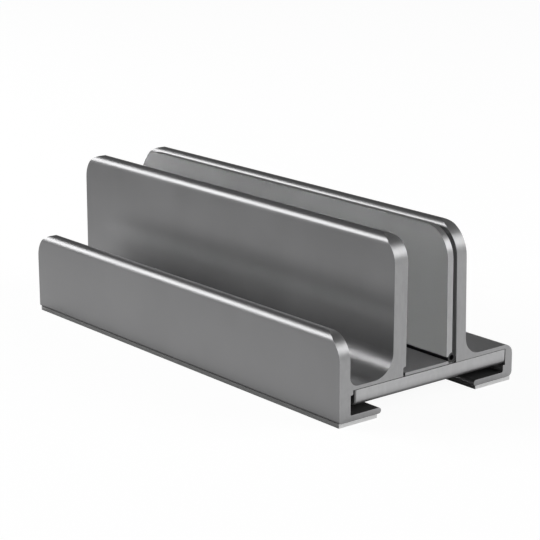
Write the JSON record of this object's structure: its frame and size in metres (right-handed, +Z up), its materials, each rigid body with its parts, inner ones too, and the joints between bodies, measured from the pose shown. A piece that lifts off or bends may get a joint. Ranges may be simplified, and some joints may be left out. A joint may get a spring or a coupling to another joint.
{
  "type": "vertical laptop stand",
  "caption": "Grey aluminium vertical stand with two upright slots for laptops, a sliding front cradle and a rocking clamp plate that grips by weight.",
  "frame": {"origin": "middle of the stand on the table, under the centre of its outline", "axes": "+X along the slots, +Y from the low front wall to the rear wall, +Z up"},
  "size_m": [0.19, 0.0842, 0.0635],
  "materials": {
    "grey_aluminium": "fine bead-blasted, grey anodised",
    "foot_silicone": "translucent pale silicone",
    "black_nylon": "matt black",
    "fasteners": "black oxide"
  },
  "bodies": {
    "stand": {"base_plate": "grey_aluminium", "rear_wall": "grey_aluminium", "rear_foot_strip": "foot_silicone", "rear_screw_left": "fasteners", "rear_screw_right": "fasteners", "pivot_block_left": "fasteners", "pivot_block_right": "fasteners", "pivot_screw_left": "fasteners", "pivot_screw_right": "fasteners", "hinge_rod": "fasteners"},
    "cradle": {"front_cradle": "grey_aluminium", "front_foot_strip": "foot_silicone", "cradle_screw_left": "fasteners", "cradle_screw_right": "fasteners", "cradle_washer_left": "fasteners", "cradle_washer_right": "fasteners"},
    "clamp": {"clamp_plate": "grey_aluminium", "floor_plate": "grey_aluminium", "corner_hinge_left": "black_nylon", "corner_hinge_middle": "black_nylon", "corner_hinge_right": "black_nylon"}
  },
  "joints": [
    {"name": "cradle_slide", "type": "slide", "parent": "stand", "child": "cradle", "axis": [0, -1, 0], "range_m": [-0.0008, 0.01]},
    {"name": "clamp_rock", "type": "hinge", "parent": "stand", "child": "clamp", "pos_m": [0, 0.01115, 0.0148], "axis": [-1, 0, 0], "range_deg": [0, 1.8]}
  ]
}
